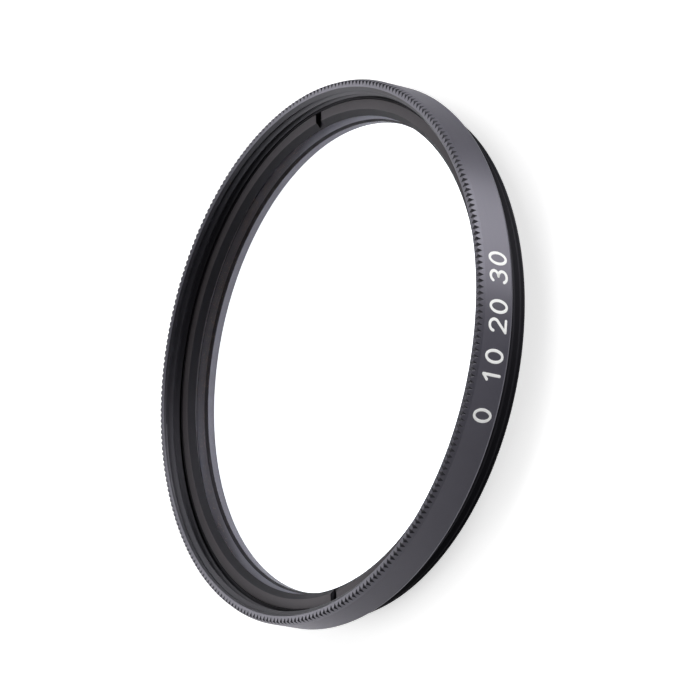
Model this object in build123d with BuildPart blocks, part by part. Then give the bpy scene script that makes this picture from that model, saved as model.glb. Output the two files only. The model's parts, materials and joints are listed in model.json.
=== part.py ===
# Screw in lens filter: a knurled metal ring, a clear glass disc and the slotted ring that holds it.
# All sizes are millimetres. Z is the optical axis: Z = 0 is the rear end face that the filter rests on,
# and the front, with the socket for another filter or a cap, is up.
import os
from math import hypot, pi, sqrt

from build123d import *

# Filter thread: nominal diameter and pitch of the standard, kept as plain walls at the crests.
thread_diameter = 52.0
thread_pitch = 0.75
thread_allowance = 0.1
thread_depth = 5 / 8 * sqrt(3) / 2 * thread_pitch
male_crest_radius = thread_diameter / 2 - thread_allowance
socket_radius = thread_diameter / 2 - thread_depth

# Outer shape, from the rear end face to the front land.
overall_height = 6.3
band_overhang = 1.0
shoulder_height = 2.46
shoulder_bevel = 0.18
end_bevel = 0.35
relief_width = 0.4
relief_depth = 0.45
knurl_height = 0.55
knurl_taper = 0.25
land_width = 0.57
band_radius = thread_diameter / 2 + band_overhang
corner_radius = band_radius - knurl_taper
land_inner_radius = corner_radius - land_width
lead_in = land_inner_radius - socket_radius

# Knurl: straight V notches rolled across the front outer corner.
tooth_pitch = 0.6
tooth_tip_width = 0.22
notch_on_land = 0.32
notch_on_taper = 0.36
cutter_overrun = 0.1
cutter_clearance = 0.02

# The glass lies on a lip, and the retaining ring lies on the glass, flush with the floor of the socket.
lip_height = 1.67
lip_width = 1.5
lip_bevel = 0.2
lip_straight = 0.87
rear_flare = 1.2
glass_thickness = 2.3
glass_clearance = 0.1
glass_edge_bevel = 0.2
glass_shelf = 0.43
glass_shelf_gap = 0.05
ring_height = 0.65
ring_width = 1.57
ring_clearance = 0.05
ring_inner_bevel = 0.57
ring_bore_height = 0.1
ring_edge_bevel = 0.06
socket_shelf = 0.27
slot_width = 0.95
slot_depth = 0.45
slot_turn = 23.0

# Heights of the stack from the lip up, and radii from the socket inwards.
glass_top = lip_height + glass_thickness
socket_floor = glass_top + ring_height
ring_seat = glass_top - glass_shelf_gap
ring_pocket_radius = socket_radius - socket_shelf
ring_radius = ring_pocket_radius - ring_clearance
ring_bore_radius = ring_radius - ring_width
glass_pocket_radius = ring_pocket_radius - glass_shelf
glass_radius = glass_pocket_radius - glass_clearance
lip_radius = glass_pocket_radius - lip_width

# Notch: its bottom line runs straight from the land to the tapered side, under the corner.
taper_length = hypot(knurl_taper, knurl_height)
notch_start_r = corner_radius - notch_on_land
notch_end_r = corner_radius + notch_on_taper * knurl_taper / taper_length
notch_end_z = overall_height - notch_on_taper * knurl_height / taper_length
notch_run_r = notch_end_r - notch_start_r
notch_run_z = notch_end_z - overall_height
notch_length = hypot(notch_run_r, notch_run_z)
notch_along = Vector(notch_run_r / notch_length, 0, notch_run_z / notch_length)
corner_depth = -notch_on_land * notch_run_z / notch_length
notch_count = round(2 * pi * corner_radius / tooth_pitch)
corner_pitch = 2 * pi * corner_radius / notch_count
notch_slope = (corner_pitch - tooth_tip_width) / 2 / corner_depth
notch_reach = corner_depth + cutter_clearance

# The turned frame: one profile round the axis, then the knurl.
with BuildPart() as filter_frame:
    with BuildSketch(Plane.XZ):
        with BuildLine():
            Polyline(
                (male_crest_radius - end_bevel, 0),
                (male_crest_radius, end_bevel),
                (male_crest_radius, shoulder_height - relief_width),
                (male_crest_radius - relief_depth, shoulder_height - relief_width),
                (male_crest_radius - relief_depth, shoulder_height),
                (band_radius - shoulder_bevel, shoulder_height),
                (band_radius, shoulder_height + shoulder_bevel),
                (band_radius, overall_height - knurl_height),
                (corner_radius, overall_height),
                (land_inner_radius, overall_height),
                (socket_radius, overall_height - lead_in),
                (socket_radius, socket_floor),
                (ring_pocket_radius, socket_floor),
                (ring_pocket_radius, ring_seat),
                (glass_pocket_radius, ring_seat),
                (glass_pocket_radius, lip_height),
                (lip_radius + lip_bevel, lip_height),
                (lip_radius, lip_height - lip_bevel),
                (lip_radius, lip_height - lip_bevel - lip_straight),
                (lip_radius + rear_flare, 0),
                close=True,
            )
        make_face()
    revolve(axis=Axis.Z)
    notch_plane = Plane(
        origin=Vector(notch_start_r, 0, overall_height) - notch_along * cutter_overrun,
        x_dir=(0, 1, 0),
        z_dir=notch_along,
    )
    with BuildSketch(notch_plane):
        with BuildLine():
            Polyline(
                (0, 0),
                (notch_reach * notch_slope, notch_reach),
                (-notch_reach * notch_slope, notch_reach),
                close=True,
            )
        make_face()
    notch = extrude(amount=notch_length + 2 * cutter_overrun, mode=Mode.PRIVATE)
    with PolarLocations(0, notch_count):
        add(notch, mode=Mode.SUBTRACT)
filter_frame.part.label = "filter_frame"

# The ring that holds the glass, slotted across for a two-pin spanner.
with BuildPart() as retaining_ring:
    with BuildSketch(Plane.XZ):
        with BuildLine():
            Polyline(
                (ring_bore_radius, glass_top),
                (ring_radius, glass_top),
                (ring_radius, socket_floor - ring_edge_bevel),
                (ring_radius - ring_edge_bevel, socket_floor),
                (ring_bore_radius + ring_inner_bevel, socket_floor),
                (ring_bore_radius, glass_top + ring_bore_height),
                close=True,
            )
        make_face()
    revolve(axis=Axis.Z)
    slot_plane = Plane.XY.offset(socket_floor).rotated((0, 0, slot_turn))
    with BuildSketch(slot_plane):
        Rectangle(2 * socket_radius, slot_width)
    extrude(amount=-slot_depth, mode=Mode.SUBTRACT)
retaining_ring.part.label = "retaining_ring"

# The clear disc, resting on the lip with its ground edge bevels.
with BuildPart() as filter_glass:
    with BuildSketch(Plane.XY.offset(lip_height)):
        Circle(glass_radius)
    extrude(amount=glass_thickness)
    chamfer(filter_glass.edges(), glass_edge_bevel)
filter_glass.part.label = "filter_glass"

os.makedirs("parts", exist_ok=True)
export_step(filter_frame.part, "parts/filter_frame.step")
export_step(retaining_ring.part, "parts/retaining_ring.step")
export_step(filter_glass.part, "parts/filter_glass.step")
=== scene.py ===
import json
import math

import bmesh
import bpy
import numpy as np
from mathutils import Matrix, Vector


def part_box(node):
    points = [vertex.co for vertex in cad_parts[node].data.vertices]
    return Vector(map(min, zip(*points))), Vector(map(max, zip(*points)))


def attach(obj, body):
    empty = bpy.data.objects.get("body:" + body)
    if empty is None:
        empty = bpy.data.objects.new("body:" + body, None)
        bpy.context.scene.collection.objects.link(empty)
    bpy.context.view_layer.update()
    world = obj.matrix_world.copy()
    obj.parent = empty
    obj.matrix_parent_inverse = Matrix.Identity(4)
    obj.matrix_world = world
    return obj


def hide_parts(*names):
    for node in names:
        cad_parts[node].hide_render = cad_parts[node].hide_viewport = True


# Looks of a screw in lens filter: the turned black frame with its knurl and both threads, the slotted
# retaining ring, the coated glass and the printed numbers on the band.
# Shapes are worked out in millimetres with Z along the optical axis, and go into the meshes in metres.
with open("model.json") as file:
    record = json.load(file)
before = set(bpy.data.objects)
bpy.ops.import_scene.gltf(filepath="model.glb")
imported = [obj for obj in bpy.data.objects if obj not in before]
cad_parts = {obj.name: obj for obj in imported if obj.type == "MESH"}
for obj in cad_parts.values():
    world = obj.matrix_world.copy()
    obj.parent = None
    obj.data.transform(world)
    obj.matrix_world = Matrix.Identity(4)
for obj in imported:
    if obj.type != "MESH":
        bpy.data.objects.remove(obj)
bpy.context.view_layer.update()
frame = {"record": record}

MM = 0.001
TURN = 2 * math.pi
WELD = 2e-7
SHARP_EDGE = math.radians(15)

# Places of the finishes in each piece's list. The matt, bore and dull finishes carry painted shade.
SATIN, MATT_PAINTED_SHADE, BORE_PAINTED_SHADE, SEAT, SMOOTH = range(5)
WARM, DULL_PAINTED_SHADE = range(2)

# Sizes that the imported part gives.
frame_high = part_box("filter_frame")[1]
ring_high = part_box("retaining_ring")[1]
glass_low, glass_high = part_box("filter_glass")
mounts = {mount["name"]: mount for mount in frame["record"]["mounts"]}
male_crest = mounts["rear_thread"]["dims"]["r_mm"]
female_crest = mounts["front_thread"]["dims"]["r_mm"]
overall_height = frame_high.z / MM
lip_height = glass_low.z / MM
glass_top = glass_high.z / MM
glass_radius = glass_high.x / MM
ring_radius = ring_high.x / MM
socket_floor = ring_high.z / MM

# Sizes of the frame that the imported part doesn't name. The shoulder's rounding has points in from the
# band and up from the shoulder, with the finish that follows each.
ink_height = 0.012
band_radius = frame_high.x / MM - ink_height
shoulder_height = 2.46
shoulder_round = ((0.2, 0.0, MATT_PAINTED_SHADE), (0.07, 0.07, SMOOTH), (0.0, 0.24, SATIN))
end_bevel = 0.35
relief_width = 0.4
relief_depth = 0.45
knurl_height = 0.55
knurl_taper = 0.25 - ink_height
land_width = 0.57
land_drop = 0.03
edge_break = 0.03
socket_shelf = 0.27
glass_shelf = 0.43
glass_shelf_gap = 0.05
lip_width = 1.5
lip_bevel = 0.2
lip_edge = 0.12
lip_straight = 0.87
rear_flare = 1.2

# Threads: pitch and depth of the standard profile, and the height of one crest or groove as seen.
thread_pitch = 0.75
thread_depth = 5 / 8 * math.sqrt(3) / 2 * thread_pitch
crest_flat = 1 / 8
root_flat = 1 / 4
male_crest_height = 0.78
male_crest_turn = -100 / 360
female_root_height = 5.83
female_root_turn = 90 / 360
female_run_out = 0.2
run_out_width = 0.2

# Knurl: V notches across the front outer corner, with a little flat left at each tooth's tip.
tooth_count = 280
tooth_columns = 3
tooth_tip_width = 0.16
notch_depth = 0.11
notch_on_land = 0.42
notch_on_taper = 0.42
notch_end_width = 0.04

# Retaining ring and glass.
ring_width = 1.57
ring_inner_bevel = 0.57
ring_bevel_break_in, ring_bevel_break_down = 0.01, 0.018
ring_bore_height = 0.1
ring_edge_bevel = 0.06
slot_width = 0.95
slot_depth = 0.45
slot_turn = math.radians(23)
ring_columns = 420
glass_bevel = 0.2
glass_film_gap = 0.006
glass_columns = 360
glass_circles = 9

# Printed numbers: height of the figures, width of the stroke, and where they stand on the band.
figure_height = 2.16
figure_stroke = 0.3
figure_base = 3.1
figure_width = 1.38
figure_gap = 0.42
figure_first = math.radians(-96)
figure_step = math.radians(10)
figure_numbers = ("0", "10", "20", "30")

# Forms of the figures, as shares of a figure's half width and height, with arcs in degrees.
one_stem_shift, one_flag_reach, one_flag_foot = 0.1, 0.75, 0.74
two_bowl, two_sweep = 0.29, (170, -35)
three_upper, three_lower, three_upper_width = 0.24, 0.26, 0.92
three_upper_sweep, three_lower_sweep = (155, -90), (90, -160)
round_points, bowl_points, stem_points, foot_points, flag_points = 72, 40, 24, 20, 12

# Section of a stroke of ink: places across it as shares of its half width, and heights as shares of the
# ink's.
ink_across = np.array((-1.0, -0.93, -0.6, 0.6, 0.93, 1.0))
ink_rise = np.array((-0.5, 0.7, 1.0, 1.0, 0.7, -0.5))
cap_steps = 8

# Turned metal: scales of its grain in grains a millimetre, and how much each shows in shade, height and
# sheen.
mark_scale, grain_scale, cloud_scale = 14.0, 11.0, 0.18
mark_wander = 0.004
mark_shade, grain_shade, cloud_shade = 0.5, 0.8, 0.7
mark_rise = 0.6
mark_sheen, grain_sheen = 0.1, 0.16
metal_bump, ink_bump = 0.22, 0.2
bump_distance = 0.00002
along_the_marks = 0.25

# Glass and ink.
wipe_scale, wipe_haze = 0.12, 0.012
glass_index = 1.52
film_nanometres, film_index = 125.0, 1.24
ink_scale, ink_roughness, ink_sheen = 9.0, 0.5, 0.2

# Camera: where it stands, what it looks at and how far it is rolled, for a square picture.
camera_distance = 0.41985
camera_elevation = math.radians(34.241)
camera_azimuth = math.radians(-0.119)
camera_roll = math.radians(-78.388)
camera_aim = Vector((0.000723, 0.0, 0.00189))
camera_lens = 220.2
camera_sensor = 36.0
camera_near, camera_far = 0.01, 20

floor_sides = 64


def surface(name, points, faces, node, finishes, finish_of_face=0):
    """Mesh object at the origin from points in mm. Corners at one place are joined, which closes seams and
    poles, and edges sharper than SHARP_EDGE stay crisp. Each face has one of the finishes."""
    mesh = bpy.data.meshes.new(name)
    mesh.from_pydata((points.reshape(-1, 3) * MM).tolist(), [], faces.tolist())
    mesh.polygons.foreach_set("material_index", np.zeros(len(faces), dtype=np.int32) + finish_of_face)
    shape = bmesh.new()
    shape.from_mesh(mesh)
    bmesh.ops.remove_doubles(shape, verts=shape.verts, dist=WELD)
    shape.to_mesh(mesh)
    shape.free()
    mesh.shade_smooth()
    mesh.set_sharp_from_angle(angle=SHARP_EDGE)
    for finish in finishes:
        mesh.materials.append(finish)
    piece = bpy.data.objects.new(name, mesh)
    bpy.context.scene.collection.objects.link(piece)
    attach(piece, "root")
    if node:
        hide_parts(node)
    return piece


def loop_faces(columns, rows):
    """Quads of a grid of columns x rows points. Each column is a closed loop, and the last column isn't
    joined on."""
    index = np.arange(columns * rows).reshape(columns, rows)
    above = np.roll(index, -1, axis=1)
    return np.stack((index[:-1], index[1:], above[1:], above[:-1]), axis=-1).reshape(-1, 4)


def round_axis(radius, angle, height):
    """Points at a radius, an angle and a height about the optical axis."""
    return np.stack((radius * np.cos(angle), radius * np.sin(angle), height), axis=-1)


def groove(phase):
    """Standard thread profile over one pitch: 0 on the crest flat, 1 on the root flat, straight flanks
    between."""
    from_crest = np.abs(phase - np.round(phase))
    return np.clip((from_crest - crest_flat / 2) / ((1 - crest_flat - root_flat) / 2), 0, 1)


def helix_rows(angle, low, high, start):
    """Heights of rows that follow a right-hand thread between two levels, rising one pitch a turn, and the
    phase of the thread on each. Rows lie on both edges and the middle of every crest and root and halfway
    up the flanks. Rows that would leave the levels are held at them."""
    in_pitch = np.array((0, crest_flat / 2, (1 + crest_flat - root_flat) / 4, (1 - root_flat) / 2))
    in_pitch = np.concatenate((in_pitch, 1 - np.array((1 / 2, *in_pitch[:0:-1]))))
    first = math.floor((low - start) / thread_pitch) - 1
    last = math.ceil((high - start) / thread_pitch) + 1
    lines = (np.arange(first, last)[:, None] + in_pitch).ravel()
    height = np.clip(start + thread_pitch * (lines + angle[:, None] / TURN), low, high)
    phase = (height - start) / thread_pitch - angle[:, None] / TURN
    return height, phase


def plain_rows(columns, corners):
    """Rows of the given radius and height, the same at every column, and the finish that follows each."""
    radius, height, finish = zip(*corners)
    return np.tile(radius, (columns, 1)), np.tile(height, (columns, 1)), list(finish)


def filter_frame(finishes):
    """The turned frame: one closed profile carried round the axis in three columns a tooth. Column 0 runs
    along the bottom of each notch and columns 1 and 2 along its two edges. On the knurl's rows the edges
    stand half a notch to either side of the bottom, so the notches are cut clean; on all other rows the
    columns are even. The outside is satin, the threads and the pockets are matt, the notches and the female
    thread's upper faces have the bore's finish, and the rear edge of the band and the bore of the lip are
    smooth. The matt and the bore's finishes carry painted shade: their darker black stands in for the shade
    in the threads, in the pockets, under the band and in the notches."""
    corner = band_radius - knurl_taper
    land_inner = corner - land_width
    pitch_angle = TURN / tooth_count
    column = np.arange(tooth_columns * tooth_count + 1)
    columns = len(column)
    side = np.array((0.0, 1.0, -1.0))[column % tooth_columns]
    middle = column // tooth_columns * pitch_angle + np.where(side < 0, pitch_angle, 0.0)
    angle = middle + side * pitch_angle / tooth_columns

    # Notch: it is deepest and widest under the corner, and its bottom rises straight to the land and to the
    # taper.
    taper = np.array((knurl_taper, -knurl_height)) / math.hypot(knurl_taper, knurl_height)
    land = np.array((-land_width, -land_drop)) / math.hypot(land_width, land_drop)
    tip = np.array((corner, overall_height))
    on_taper = tip + np.array(((notch_on_taper,), (edge_break,))) * taper
    on_land = tip + np.array(((edge_break,), (notch_on_land,))) * land
    knurl_points = np.concatenate((on_taper, on_land))
    knurl_rows = len(knurl_points)
    below_corner = np.array(((1 - taper[0]) / taper[1], -1.0))
    share = 1 - np.array((1, edge_break / notch_on_taper, edge_break / notch_on_land, 1))
    half_width = (corner * pitch_angle - tooth_tip_width) / 2
    knurl_width = np.maximum(half_width * share, notch_end_width / 2)
    bottom = (side == 0)[:, None, None]
    knurl = np.where(bottom, knurl_points + notch_depth * share[:, None] * below_corner, knurl_points)
    knurl_angle = middle[:, None] + side[:, None] * knurl_width / knurl_points[:, 0]

    # Male thread, cut back by the end bevel. Female thread, opened by the lead-in.
    male_start = male_crest_height - thread_pitch * male_crest_turn
    male_z, male_phase = helix_rows(angle, 0.0, shoulder_height - relief_width, male_start)
    male_r = np.minimum(male_crest - thread_depth * groove(male_phase), male_crest - end_bevel + male_z)
    female_start = female_root_height - thread_pitch * (female_root_turn + 1 / 2)
    thread_end = socket_floor - female_run_out
    lead_in_top = overall_height - land_drop - edge_break
    female_z, female_phase = helix_rows(angle, thread_end, lead_in_top, female_start)
    lead_in = land_inner - edge_break - (lead_in_top - female_z)
    female_r = np.maximum(female_crest + thread_depth * groove(female_phase), lead_in)
    female_r, female_z = female_r[:, ::-1], female_z[:, ::-1]

    # Plain rows: radius, height and the finish that follows.
    relief_r = male_crest - relief_depth
    ring_pocket = female_crest - socket_shelf
    glass_pocket = ring_pocket - glass_shelf
    lip_r = glass_pocket - lip_width
    ring_seat = glass_top - glass_shelf_gap
    # Rows marked matt carry painted shade: a darker black on the relief, the shoulder's underside, the
    # pockets and the lip.
    outside_r, outside_z, outside_finish = plain_rows(columns, (
        (relief_r, shoulder_height - relief_width, MATT_PAINTED_SHADE),
        (relief_r, shoulder_height, MATT_PAINTED_SHADE),
        *((band_radius - across, shoulder_height + up, finish) for across, up, finish in shoulder_round),
        (band_radius, overall_height - knurl_height, SATIN),
    ))
    land_r, land_z, land_finish = plain_rows(columns, ((land_inner, overall_height - land_drop, SATIN),))
    inside_r, inside_z, inside_finish = plain_rows(columns, (
        (female_crest - run_out_width, thread_end, MATT_PAINTED_SHADE),
        (female_crest - run_out_width, socket_floor, MATT_PAINTED_SHADE),
        (ring_pocket, socket_floor, MATT_PAINTED_SHADE),
        (ring_pocket, ring_seat, MATT_PAINTED_SHADE),
        (glass_pocket, ring_seat, MATT_PAINTED_SHADE),
        (glass_pocket, lip_height, SEAT),
        (lip_r + lip_bevel, lip_height, MATT_PAINTED_SHADE),
        (lip_r, lip_height - lip_bevel, MATT_PAINTED_SHADE),
        (lip_r, lip_height - lip_bevel - lip_edge, SMOOTH),
        (lip_r, lip_height - lip_bevel - lip_straight, MATT_PAINTED_SHADE),
        (lip_r + rear_flare - edge_break, edge_break, MATT_PAINTED_SHADE),
        (lip_r + rear_flare, 0.0, MATT_PAINTED_SHADE),
    ))
    radius = np.hstack((male_r, outside_r, knurl[..., 0], land_r, female_r, inside_r))
    height = np.hstack((male_z, outside_z, knurl[..., 1], land_z, female_z, inside_z))
    row_angle = np.tile(angle[:, None], (1, radius.shape[1]))
    knurl_start = male_r.shape[1] + outside_r.shape[1]
    row_angle[:, knurl_start:knurl_start + knurl_rows] = knurl_angle
    points = round_axis(radius, row_angle, height)

    # Finish of the face that follows each row, then of the notches' two walls and of the faces of the female
    # thread that look up. The notch walls get painted shade: the bore's darker black stands in for the shade
    # in the notches.
    of_row = [MATT_PAINTED_SHADE] * male_r.shape[1] + outside_finish + [SATIN] * knurl_rows + land_finish
    thread_start = len(of_row)
    of_row += [MATT_PAINTED_SHADE] * female_r.shape[1] + inside_finish
    finish_of_face = np.tile(np.array(of_row, dtype=np.int32), (columns - 1, 1))
    in_notch = column[:-1] % tooth_columns != 1
    finish_of_face[in_notch, knurl_start:knurl_start + knurl_rows - 1] = BORE_PAINTED_SHADE
    looks_up = np.diff(female_r[:-1], axis=1) < 0
    finish_of_face[:, thread_start:thread_start + looks_up.shape[1]][looks_up] = BORE_PAINTED_SHADE
    faces = loop_faces(*radius.shape)
    piece = "filter_frame_turned"
    return surface(piece, points, faces, "filter_frame", finishes, finish_of_face.ravel())


def retaining_ring(finishes):
    """The slotted ring: one closed profile carried round the axis. At each slot, columns stand on its two
    walls, which are parallel, so a wall's angle is the arc sine of half the slot over the radius. Columns
    between the walls have the profile cut off at the floor of the slot. The slots and the inner bevel are
    dull: their darker black is painted shade."""
    inner = ring_radius - ring_width
    slot_floor = socket_floor - slot_depth
    bevel_foot = glass_top + ring_bore_height
    bevel_top = inner + ring_inner_bevel
    bevel_run = ring_inner_bevel * (slot_floor - bevel_foot) / (socket_floor - bevel_foot)
    # Rows marked dull carry painted shade: a darker black on the inner bevel.
    radius, height, of_row = np.array((
        (inner + edge_break, glass_top, WARM),
        (ring_radius - edge_break, glass_top, WARM),
        (ring_radius, glass_top + edge_break, WARM),
        (ring_radius, slot_floor, WARM),
        (ring_radius, socket_floor - ring_edge_bevel, WARM),
        (ring_radius - ring_edge_bevel, socket_floor, WARM),
        (bevel_top + edge_break, socket_floor, WARM),
        (bevel_top - ring_bevel_break_in, socket_floor - ring_bevel_break_down, DULL_PAINTED_SHADE),
        (inner + bevel_run, slot_floor, DULL_PAINTED_SHADE),
        (inner, bevel_foot, DULL_PAINTED_SHADE),
        (inner, glass_top + edge_break, WARM),
    )).T
    half_turn = np.linspace(0, math.pi, ring_columns // 2 + 1)[1:-1]
    wall = slot_width / 2
    slot_offset = np.array((-wall, -wall, 0, wall, wall))
    slot_lowered = np.array((False, True, True, True, False))
    centre = np.concatenate((np.zeros(len(slot_offset)), half_turn))
    offset = np.concatenate((slot_offset, np.zeros(len(half_turn))))
    lowered = np.concatenate((slot_lowered, np.zeros(len(half_turn), bool)))
    centre = np.concatenate((centre, centre + math.pi, (TURN,))) + slot_turn
    offset = np.concatenate((offset, offset, offset[:1]))
    lowered = np.concatenate((lowered, lowered, lowered[:1]))
    angle = centre[:, None] + np.arcsin(offset[:, None] / radius)
    cut = np.where(lowered[:, None], np.minimum(height, slot_floor), height)
    points = round_axis(np.tile(radius, (len(centre), 1)), angle, cut)
    finish_of_face = np.tile(of_row.astype(np.int32), (len(centre) - 1, 1))
    # Painted shade: the slots take the dull finish's darker black.
    finish_of_face[lowered[1:] | lowered[:-1]] = DULL_PAINTED_SHADE
    faces = loop_faces(*cut.shape)
    piece = "retaining_ring_slotted"
    return surface(piece, points, faces, "retaining_ring", finishes, finish_of_face.ravel())


def filter_glass(finishes):
    """The clear disc: a closed profile from the axis out over the lower face, the ground edge and the upper
    face back to the axis, carried round. It stands a hair clear of the lip and the ring."""
    low, high = lip_height + glass_film_gap, glass_top - glass_film_gap
    face = np.linspace(0, glass_radius - glass_bevel, glass_circles)
    level = np.ones(glass_circles)
    radius = np.concatenate((face, (glass_radius, glass_radius), face[::-1]))
    height = np.concatenate((low * level, (low + glass_bevel, high - glass_bevel), high * level))
    angle = np.linspace(0, TURN, glass_columns + 1)[:, None]
    points = round_axis(radius * np.ones_like(angle), angle, height * np.ones_like(angle))
    faces = loop_faces(*points.shape[:2])
    return surface("filter_glass_disc", points, faces, "filter_glass", finishes)


def arc(centre, radii, sweep, count):
    """Points on an elliptical arc, from one angle to another in degrees."""
    turn = np.radians(np.linspace(*sweep, count))
    return np.stack((centre[0] + radii[0] * np.cos(turn), centre[1] + radii[1] * np.sin(turn)), axis=-1)


def figure_paths(figure):
    """Centre lines of one figure's strokes, in mm from the foot of its middle: arcs and straight lines."""
    wide, tall = (figure_width - figure_stroke) / 2, figure_height - figure_stroke
    foot = figure_stroke / 2
    top = foot + tall
    if figure == "0":
        return [arc((0, foot + tall / 2), (wide, tall / 2), (90, 450), round_points)]
    if figure == "1":
        head = (one_stem_shift * wide, top)
        stem = np.linspace(head, (one_stem_shift * wide, foot), stem_points)
        flag = np.linspace(head, (-one_flag_reach * wide, foot + one_flag_foot * tall), flag_points)
        return [stem, flag]
    if figure == "2":
        bowl = two_bowl * tall
        crown = arc((0, top - bowl), (wide, bowl), two_sweep, bowl_points)
        slope = np.linspace(crown[-1], (-wide, foot), stem_points)
        base = np.linspace((-wide, foot), (wide, foot), foot_points)
        return [np.concatenate((crown, slope[1:])), base]
    upper, lower = three_upper * tall, three_lower * tall
    return [
        arc((0, top - upper), (three_upper_width * wide, upper), three_upper_sweep, bowl_points),
        arc((0, foot + lower), (wide, lower), three_lower_sweep, bowl_points),
    ]


def ink_stroke(path, middle):
    """One stroke of ink on the band: a flat bead carried along a path. Its half width shrinks as a circle's
    does over the last half stroke at each open end, so ends are round, and a closed path joins up with
    itself."""
    step = np.gradient(path, axis=0)
    closed = np.allclose(path[0], path[-1])
    if closed:
        step[0] = step[-1] = path[1] - path[-2]
    forward = step / np.linalg.norm(step, axis=1)[:, None]
    across = np.stack((-forward[:, 1], forward[:, 0]), axis=-1)
    half_stroke = figure_stroke / 2
    half = np.full(len(path), half_stroke)
    if not closed:
        run = np.linspace(0, math.pi / 2, cap_steps + 1)[:-1, None]
        start = path[0] - forward[0] * half_stroke * np.cos(run)
        end = path[-1] + forward[-1] * half_stroke * np.cos(run[::-1])
        cap = half_stroke * np.sin(run[:, 0])
        path = np.concatenate((start, path, end))
        first, last = np.repeat(across[:1], cap_steps, 0), np.repeat(across[-1:], cap_steps, 0)
        across = np.concatenate((first, across, last))
        half = np.concatenate((cap, half, cap[::-1]))
    flat = path[:, None] + across[:, None] * (half[:, None] * ink_across)[..., None]
    angle = middle + flat[..., 0] / band_radius
    radius = band_radius + ink_rise * ink_height + np.zeros_like(angle)
    return round_axis(radius, angle, figure_base + flat[..., 1])


def printed_numbers(finishes):
    """A plain scale of numbers round the band, printed in white."""
    points, faces, count = [], [], 0
    for step, number in enumerate(figure_numbers):
        wide = len(number) * figure_width + (len(number) - 1) * figure_gap
        for place, figure in enumerate(number):
            shift = (figure_width - wide) / 2 + place * (figure_width + figure_gap)
            middle = figure_first + step * figure_step + shift / band_radius
            for path in figure_paths(figure):
                bead = ink_stroke(path, middle)
                faces.append(loop_faces(*bead.shape[:2]) + count)
                points.append(bead.reshape(-1, 3))
                count += len(points[-1])
    points, faces = np.concatenate(points), np.concatenate(faces)
    return surface("band_numbers", points, faces, None, finishes)


class Socket:
    """An output of a finish's nodes. Arithmetic on it adds Math nodes."""

    def __init__(self, finish, socket):
        self.finish = finish
        self.socket = socket

    def maths(self, operation, first, second):
        return self.finish.node("ShaderNodeMath", {"operation": operation}, {0: first, 1: second})

    def __add__(self, other):
        return self.maths("ADD", self, other)

    def __radd__(self, other):
        return self.maths("ADD", other, self)

    def __sub__(self, other):
        return self.maths("SUBTRACT", self, other)

    def __rsub__(self, other):
        return self.maths("SUBTRACT", other, self)

    def __mul__(self, other):
        return self.maths("MULTIPLY", self, other)

    def __rmul__(self, other):
        return self.maths("MULTIPLY", other, self)

    def __pow__(self, other):
        return self.maths("POWER", self, other)

    def __rpow__(self, other):
        return self.maths("POWER", other, self)


class Finish:
    """A material or the world, built up from its nodes."""

    def __init__(self, name, owner=None):
        self.owner = owner or bpy.data.materials.new(name)
        self.owner.use_nodes = True
        self.tree = self.owner.node_tree
        self.tree.nodes.clear()

    def node(self, kind, settings=None, values=None, output=0):
        """Adds a node: its settings first, then the values or links of its sockets. Gives back one output."""
        made = self.tree.nodes.new(kind)
        for name, value in (settings or {}).items():
            setattr(made, name, value)
        for name, value in (values or {}).items():
            if isinstance(value, Socket):
                self.tree.links.new(value.socket, made.inputs[name])
            else:
                made.inputs[name].default_value = value
        return Socket(self, made.outputs[output])

    def blend(self, factor, first, second):
        """A colour between two others."""
        values = {0: factor, 6: first, 7: second}
        return self.node("ShaderNodeMix", {"data_type": "RGBA"}, values, output=2)

    def noise(self, place, scale, detail, roughness):
        """Smooth random grain, 0 to 1, at a scale in grains a millimetre."""
        values = {"Vector": place, "Scale": scale, "Detail": detail, "Roughness": roughness}
        return self.node("ShaderNodeTexNoise", {}, values)

    def bump(self, strength, height):
        """The normal of a surface with fine relief."""
        values = {"Strength": strength, "Distance": bump_distance, "Height": height}
        return self.node("ShaderNodeBump", {}, values)

    def ray(self, kind):
        """1 for rays of one kind and 0 for all others."""
        return self.node("ShaderNodeLightPath", output=kind)

    def millimetres(self):
        """The place on the piece, in mm."""
        place = self.node("ShaderNodeTexCoord", output="Object")
        return self.node("ShaderNodeVectorMath", {"operation": "SCALE"}, {0: place, "Scale": 1 / MM})

    def shown(self, shader):
        """Ends the material in its shader."""
        kind = "ShaderNodeOutputWorld" if self.owner.id_type == "WORLD" else "ShaderNodeOutputMaterial"
        end = self.tree.nodes.new(kind)
        self.tree.links.new(shader.socket, end.inputs["Surface"])
        return self.owner


def black_anodised(name, deep, pale, tint, sheen, index, turned):
    """Black anodised aluminium, turned on a lathe: tool marks run round the axis, so they change with the
    radius and the height and hardly along the way round, over an even fine grain and slow clouds of a
    slightly paler dye. The dye tints the sheen."""
    finish = Finish(name)
    place = finish.millimetres()
    x, y, z = (finish.node("ShaderNodeSeparateXYZ", {}, {0: place}, output=axis) for axis in range(3))
    radius = (x * x + y * y) ** 0.5
    section = finish.node("ShaderNodeCombineXYZ", {}, {0: radius, 1: z, 2: (x + y) * mark_wander})
    marks = finish.noise(section, mark_scale, detail=3.0, roughness=0.6) - 0.5
    grain = finish.noise(place, grain_scale, detail=2.0, roughness=0.6) - 0.5
    clouds = finish.noise(place, cloud_scale, detail=2.0, roughness=0.5) - 0.5
    shade = marks * mark_shade + grain * grain_shade + clouds * cloud_shade + 0.5
    values = {
        "Base Color": finish.blend(shade, deep, pale),
        "Roughness": sheen + grain * grain_sheen + marks * mark_sheen,
        "IOR": index,
        "Specular Tint": tint,
        "Anisotropic": turned,
        "Anisotropic Rotation": along_the_marks,
        "Normal": finish.bump(metal_bump, marks * mark_rise + grain),
    }
    return finish.shown(finish.node("ShaderNodeBsdfPrincipled", {}, values))


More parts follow.
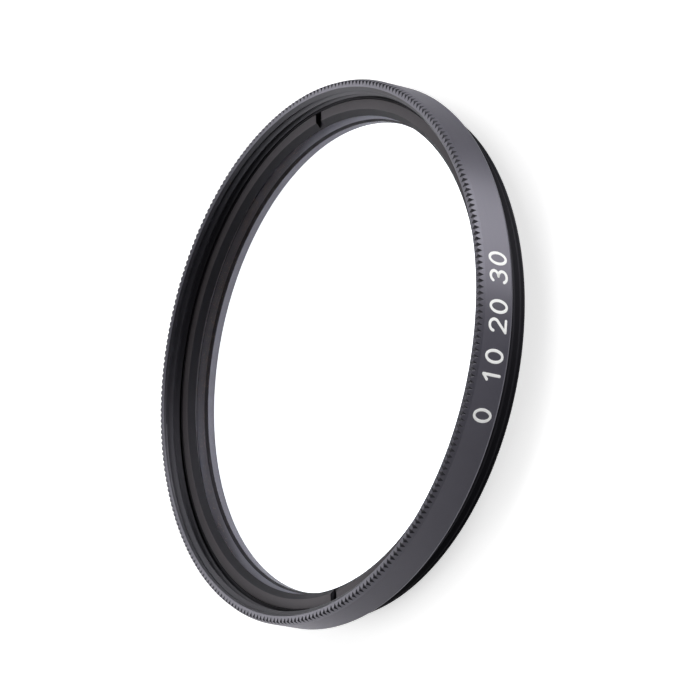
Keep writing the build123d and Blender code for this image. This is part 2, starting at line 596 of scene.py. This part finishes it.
def coated_glass(name, cool, warm, shadow):
    """Clear optical glass with a thin coating that dulls its reflections, and a trace of haze from wiping.
    Light reaches what lies behind it straight."""
    finish = Finish(name)
    place = finish.millimetres()
    wiped = finish.noise(place, wipe_scale, detail=3.0, roughness=0.55)
    values = {
        "Base Color": finish.blend(wiped, cool, warm),
        "Roughness": wiped * wipe_haze,
        "IOR": glass_index,
        "Transmission Weight": 1.0,
        "Thin Film Thickness": film_nanometres,
        "Thin Film IOR": film_index,
    }
    glass = finish.node("ShaderNodeBsdfPrincipled", {}, values)
    passing = finish.node("ShaderNodeBsdfTransparent", {}, {"Color": shadow})
    mixed = {0: finish.ray("Is Shadow Ray"), 1: glass, 2: passing}
    return finish.shown(finish.node("ShaderNodeMixShader", {}, mixed))


def white_ink(name, thin, full):
    """Screen printed white ink: a dull film, a little uneven where it covers the grain of the metal."""
    finish = Finish(name)
    place = finish.millimetres()
    grain = finish.noise(place, ink_scale, detail=3.0, roughness=0.6)
    values = {
        "Base Color": finish.blend(grain, thin, full),
        "Roughness": ink_roughness + (grain - 0.5) * ink_sheen,
        "Normal": finish.bump(ink_bump, grain),
    }
    return finish.shown(finish.node("ShaderNodeBsdfPrincipled", {}, values))


def white_floor(name, paint, glow, sheen):
    """A white floor that takes shadows. What the eye sees directly gets a glow that lifts it to white, what
    it sees in metal gets a weaker one, and what it sees through glass is white."""
    finish = Finish(name)
    seen, mirrored = finish.ray("Is Camera Ray"), finish.ray("Is Glossy Ray")
    strength = seen * glow + mirrored * sheen + finish.ray("Is Transmission Ray")
    light = finish.node("ShaderNodeEmission", {}, {"Strength": strength})
    painted = finish.node("ShaderNodeBsdfDiffuse", {}, {"Color": paint})
    return finish.shown(finish.node("ShaderNodeAddShader", {}, {0: painted, 1: light}))


def white_room(level, sweep_top, sweep_fade):
    """World: a dim even room. A sweep stands round the floor up to a low height, and the eye, metal and
    glass see it as plain white."""
    room = bpy.data.worlds.new("white_room")
    bpy.context.scene.world = room
    finish = Finish("white_room", room)
    shows = finish.ray("Is Camera Ray") + finish.ray("Is Glossy Ray") + finish.ray("Is Transmission Ray")
    direction = finish.node("ShaderNodeTexCoord", output="Generated")
    height = finish.node("ShaderNodeSeparateXYZ", {}, {0: direction}, output=2)
    limits = {"Value": height, "From Min": sweep_top, "From Max": sweep_top - sweep_fade}
    sweep = finish.node("ShaderNodeMapRange", {"interpolation_type": "SMOOTHSTEP"}, limits)
    strength = level + shows * sweep * (1 - level)
    return finish.shown(finish.node("ShaderNodeBackground", {}, {"Strength": strength}))


def soft_lamp(name, azimuth, elevation, distance, width, height, power):
    """An oblong soft lamp, aimed at the filter from a direction given in degrees."""
    a, e = math.radians(azimuth), math.radians(elevation)
    away = Vector((math.cos(a) * math.cos(e), math.sin(a) * math.cos(e), math.sin(e)))
    data = bpy.data.lights.new(name, "AREA")
    data.shape = "RECTANGLE"
    data.size, data.size_y = width, height
    data.energy = power
    lamp = bpy.data.objects.new(name, data)
    lamp.location = away * distance
    lamp.rotation_euler = away.to_track_quat("Z", "Y").to_euler()
    bpy.context.scene.collection.objects.link(lamp)
    return lamp


def floor_disc(radius, below, finish):
    """A round floor a hair under the part: one face with its corners on a circle."""
    angle = np.linspace(0, TURN, floor_sides + 1)[:-1]
    points = round_axis(radius, angle, np.full(floor_sides, -below))
    mesh = bpy.data.meshes.new("floor")
    mesh.from_pydata(points.tolist(), [], [list(range(floor_sides))])
    mesh.materials.append(finish)
    floor = bpy.data.objects.new("floor", mesh)
    bpy.context.scene.collection.objects.link(floor)


def camera():
    """The camera, by its distance and direction from the point it looks at, then rolled about its own
    axis."""
    level, rise = math.cos(camera_elevation), math.sin(camera_elevation)
    away = Vector((math.sin(camera_azimuth) * level, -math.cos(camera_azimuth) * level, rise))
    data = bpy.data.cameras.new("camera")
    data.lens = camera_lens
    data.sensor_width = camera_sensor
    data.clip_start = camera_near
    data.clip_end = camera_far
    eye = bpy.data.objects.new("camera", data)
    facing = away.to_track_quat("Z", "Y").to_matrix().to_4x4()
    rolled = facing @ Matrix.Rotation(camera_roll, 4, "Z")
    eye.matrix_world = Matrix.Translation(camera_aim + away * camera_distance) @ rolled
    bpy.context.scene.collection.objects.link(eye)
    bpy.context.scene.camera = eye


# Dyes, from the deepest to the palest shade of each, and the tints of the sheen. The third pair is painted
# shade, not a dye: a darker black that stands in for the shade in recesses, notches and slots.
black = ((0.006, 0.0055, 0.01, 1), (0.016, 0.0155, 0.026, 1))
brown = ((0.01, 0.0085, 0.0088, 1), (0.024, 0.0205, 0.021, 1))
# Painted shade: a darker black for the frame's and the ring's recesses, notches and slots.
painted_shade_black = ((0.002, 0.002, 0.003, 1), (0.006, 0.006, 0.008, 1))
violet, rosy = (0.905, 0.88, 1, 1), (0.94, 0.87, 1, 1)
satin = black_anodised("black_anodised_satin", *black, violet, sheen=0.52, index=2.2, turned=0.9)
# Matt finish with painted shade: its darker black stands in for the shade in the threads, the pockets, under
# the band and at the lip.
matt_painted_shade = black_anodised("black_anodised_matt", *painted_shade_black, violet, sheen=0.68, index=1.4, turned=0.5)
# Bore finish with painted shade: its darker black stands in for the shade in the knurl's notches and on the
# female thread.
bore_painted_shade = black_anodised("black_anodised_bore", *painted_shade_black, violet, sheen=0.54, index=1.56, turned=0.8)
seat = black_anodised("black_anodised_seat", *black, violet, sheen=0.54, index=2.6, turned=0.8)
smooth = black_anodised("black_anodised_smooth", *black, violet, sheen=0.18, index=3.6, turned=0.3)
warm = black_anodised("black_anodised_ring", *brown, rosy, sheen=0.56, index=1.46, turned=0.82)
glass = coated_glass(
    "coated_glass", cool=(0.985, 0.99, 0.995, 1), warm=(0.995, 0.99, 0.998, 1), shadow=(0.93, 0.94, 0.94, 1)
)
ink = white_ink("white_ink", thin=(0.76, 0.76, 0.75, 1), full=(0.88, 0.88, 0.87, 1))
filter_frame((satin, matt_painted_shade, bore_painted_shade, seat, smooth))
retaining_ring((warm, matt_painted_shade))
filter_glass((glass,))
printed_numbers((ink,))

floor_white = white_floor("floor_white", paint=(0.75, 0.75, 0.75, 1), glow=0.62, sheen=0.22)
floor_disc(radius=6.0, below=2e-5, finish=floor_white)
white_room(level=0.15, sweep_top=0.3, sweep_fade=0.15)
soft_lamp("key_lamp", azimuth=-32, elevation=6, distance=0.9, width=0.75, height=0.3, power=10.8)
soft_lamp("upper_lamp", azimuth=58, elevation=44, distance=1.0, width=0.6, height=0.6, power=4.2)
soft_lamp("lower_lamp", azimuth=121, elevation=34, distance=1.0, width=0.6, height=0.6, power=5.4)
soft_lamp("side_lamp", azimuth=157, elevation=52, distance=1.0, width=0.45, height=0.45, power=1.3)
soft_lamp("top_lamp", azimuth=90, elevation=62, distance=1.0, width=0.35, height=0.35, power=0.6)
camera()

bpy.context.scene.view_settings.view_transform = "Standard"
